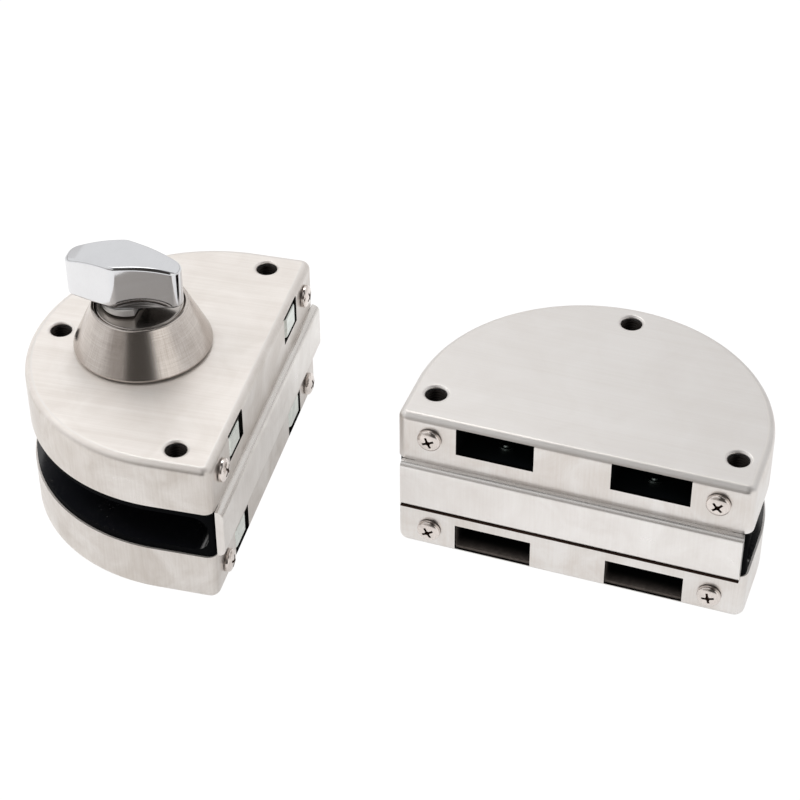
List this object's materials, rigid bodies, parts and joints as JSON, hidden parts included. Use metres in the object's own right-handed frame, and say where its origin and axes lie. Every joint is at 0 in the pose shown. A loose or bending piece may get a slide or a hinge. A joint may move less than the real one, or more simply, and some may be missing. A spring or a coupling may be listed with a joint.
{
  "type": "double glass door lock",
  "caption": "Thumb-turn lock case and matching keeper case, D-shaped in plan, that clamp on the edges of two frameless glass door leaves.",
  "frame": {"origin": "on the knob's turning axis, on the lock case's rear face, which lies on the ground", "axes": "+Z along the turning axis from the rear cover to the knob, -Y out of the lock case's flat side, the way the bolts come out"},
  "size_m": [0.104, 0.2197, 0.0795],
  "materials": {
    "cover_steel": "satin brushed stainless steel, straight grain",
    "channel_steel": "satin brushed stainless steel, grain along the edge",
    "liner_rubber": "smooth black rubber with a soft gloss",
    "zinc_casting": "dull grey die-cast zinc",
    "plate_steel": "plain steel",
    "grub_steel": "blackened steel",
    "screw_nickel": "bright nickel plate",
    "cone_steel": "turned and brushed steel, warm dark grey",
    "cylinder_steel": "turned steel",
    "knob_chrome": "polished chrome plate",
    "bolt_zinc": "bright zinc plate, faintly green",
    "pocket_plastic": "matte black plastic",
    "sleeve_nylon": "natural nylon"
  },
  "bodies": {
    "case": {"lock_front_cover": "cover_steel", "lock_rear_cover": "cover_steel", "lock_edge_channel": "channel_steel", "lock_glass_liner": "liner_rubber", "lock_front_chassis": "zinc_casting", "lock_rear_chassis": "zinc_casting", "lock_pressure_plate": "plate_steel", "lock_clamp_screw_1": "grub_steel", "lock_clamp_screw_2": "grub_steel", "lock_clamp_screw_3": "grub_steel", "lock_front_screw_left": "screw_nickel", "lock_front_screw_right": "screw_nickel", "lock_rear_screw_left": "screw_nickel", "lock_rear_screw_right": "screw_nickel", "escutcheon_cone": "cone_steel", "cylinder_body": "cylinder_steel", "spindle_sleeve": "sleeve_nylon", "keeper_front_cover": "cover_steel", "keeper_rear_cover": "cover_steel", "keeper_edge_channel": "channel_steel", "keeper_glass_liner": "liner_rubber", "keeper_front_chassis": "zinc_casting", "keeper_rear_chassis": "zinc_casting", "keeper_pressure_plate": "plate_steel", "keeper_clamp_screw_1": "grub_steel", "keeper_clamp_screw_2": "grub_steel", "keeper_clamp_screw_3": "grub_steel", "keeper_front_screw_left": "screw_nickel", "keeper_front_screw_right": "screw_nickel", "keeper_rear_screw_left": "screw_nickel", "keeper_rear_screw_right": "screw_nickel", "keeper_front_pocket_left": "pocket_plastic", "keeper_front_pocket_right": "pocket_plastic", "keeper_rear_pocket_left": "pocket_plastic", "keeper_rear_pocket_right": "pocket_plastic"},
    "turning": {"knob": "knob_chrome", "spindle": "plate_steel", "spindle_circlip": "plate_steel", "front_cam": "plate_steel", "rear_cam": "plate_steel"},
    "front_bolts": {"front_carriage": "plate_steel", "front_bolt_left": "bolt_zinc", "front_bolt_right": "bolt_zinc"},
    "rear_bolts": {"rear_carriage": "plate_steel", "rear_bolt_left": "bolt_zinc", "rear_bolt_right": "bolt_zinc"}
  },
  "joints": [
    {"name": "knob_turn", "type": "hinge", "parent": "case", "child": "turning", "pos_m": [0, 0, 0.02425], "axis": [0, 0, 1], "range_deg": [0, 90]},
    {"name": "front_bolts_slide", "type": "slide", "parent": "case", "child": "front_bolts", "axis": [0, -1, 0], "range_m": [0, 0.01132]},
    {"name": "rear_bolts_slide", "type": "slide", "parent": "case", "child": "rear_bolts", "axis": [0, -1, 0], "range_m": [0, 0.01132]}
  ],
  "couplings": [
    {"joint": "front_bolts_slide", "follows": "knob_turn", "m_per_rad": 0.0072025},
    {"joint": "rear_bolts_slide", "follows": "knob_turn", "m_per_rad": 0.0072025}
  ]
}
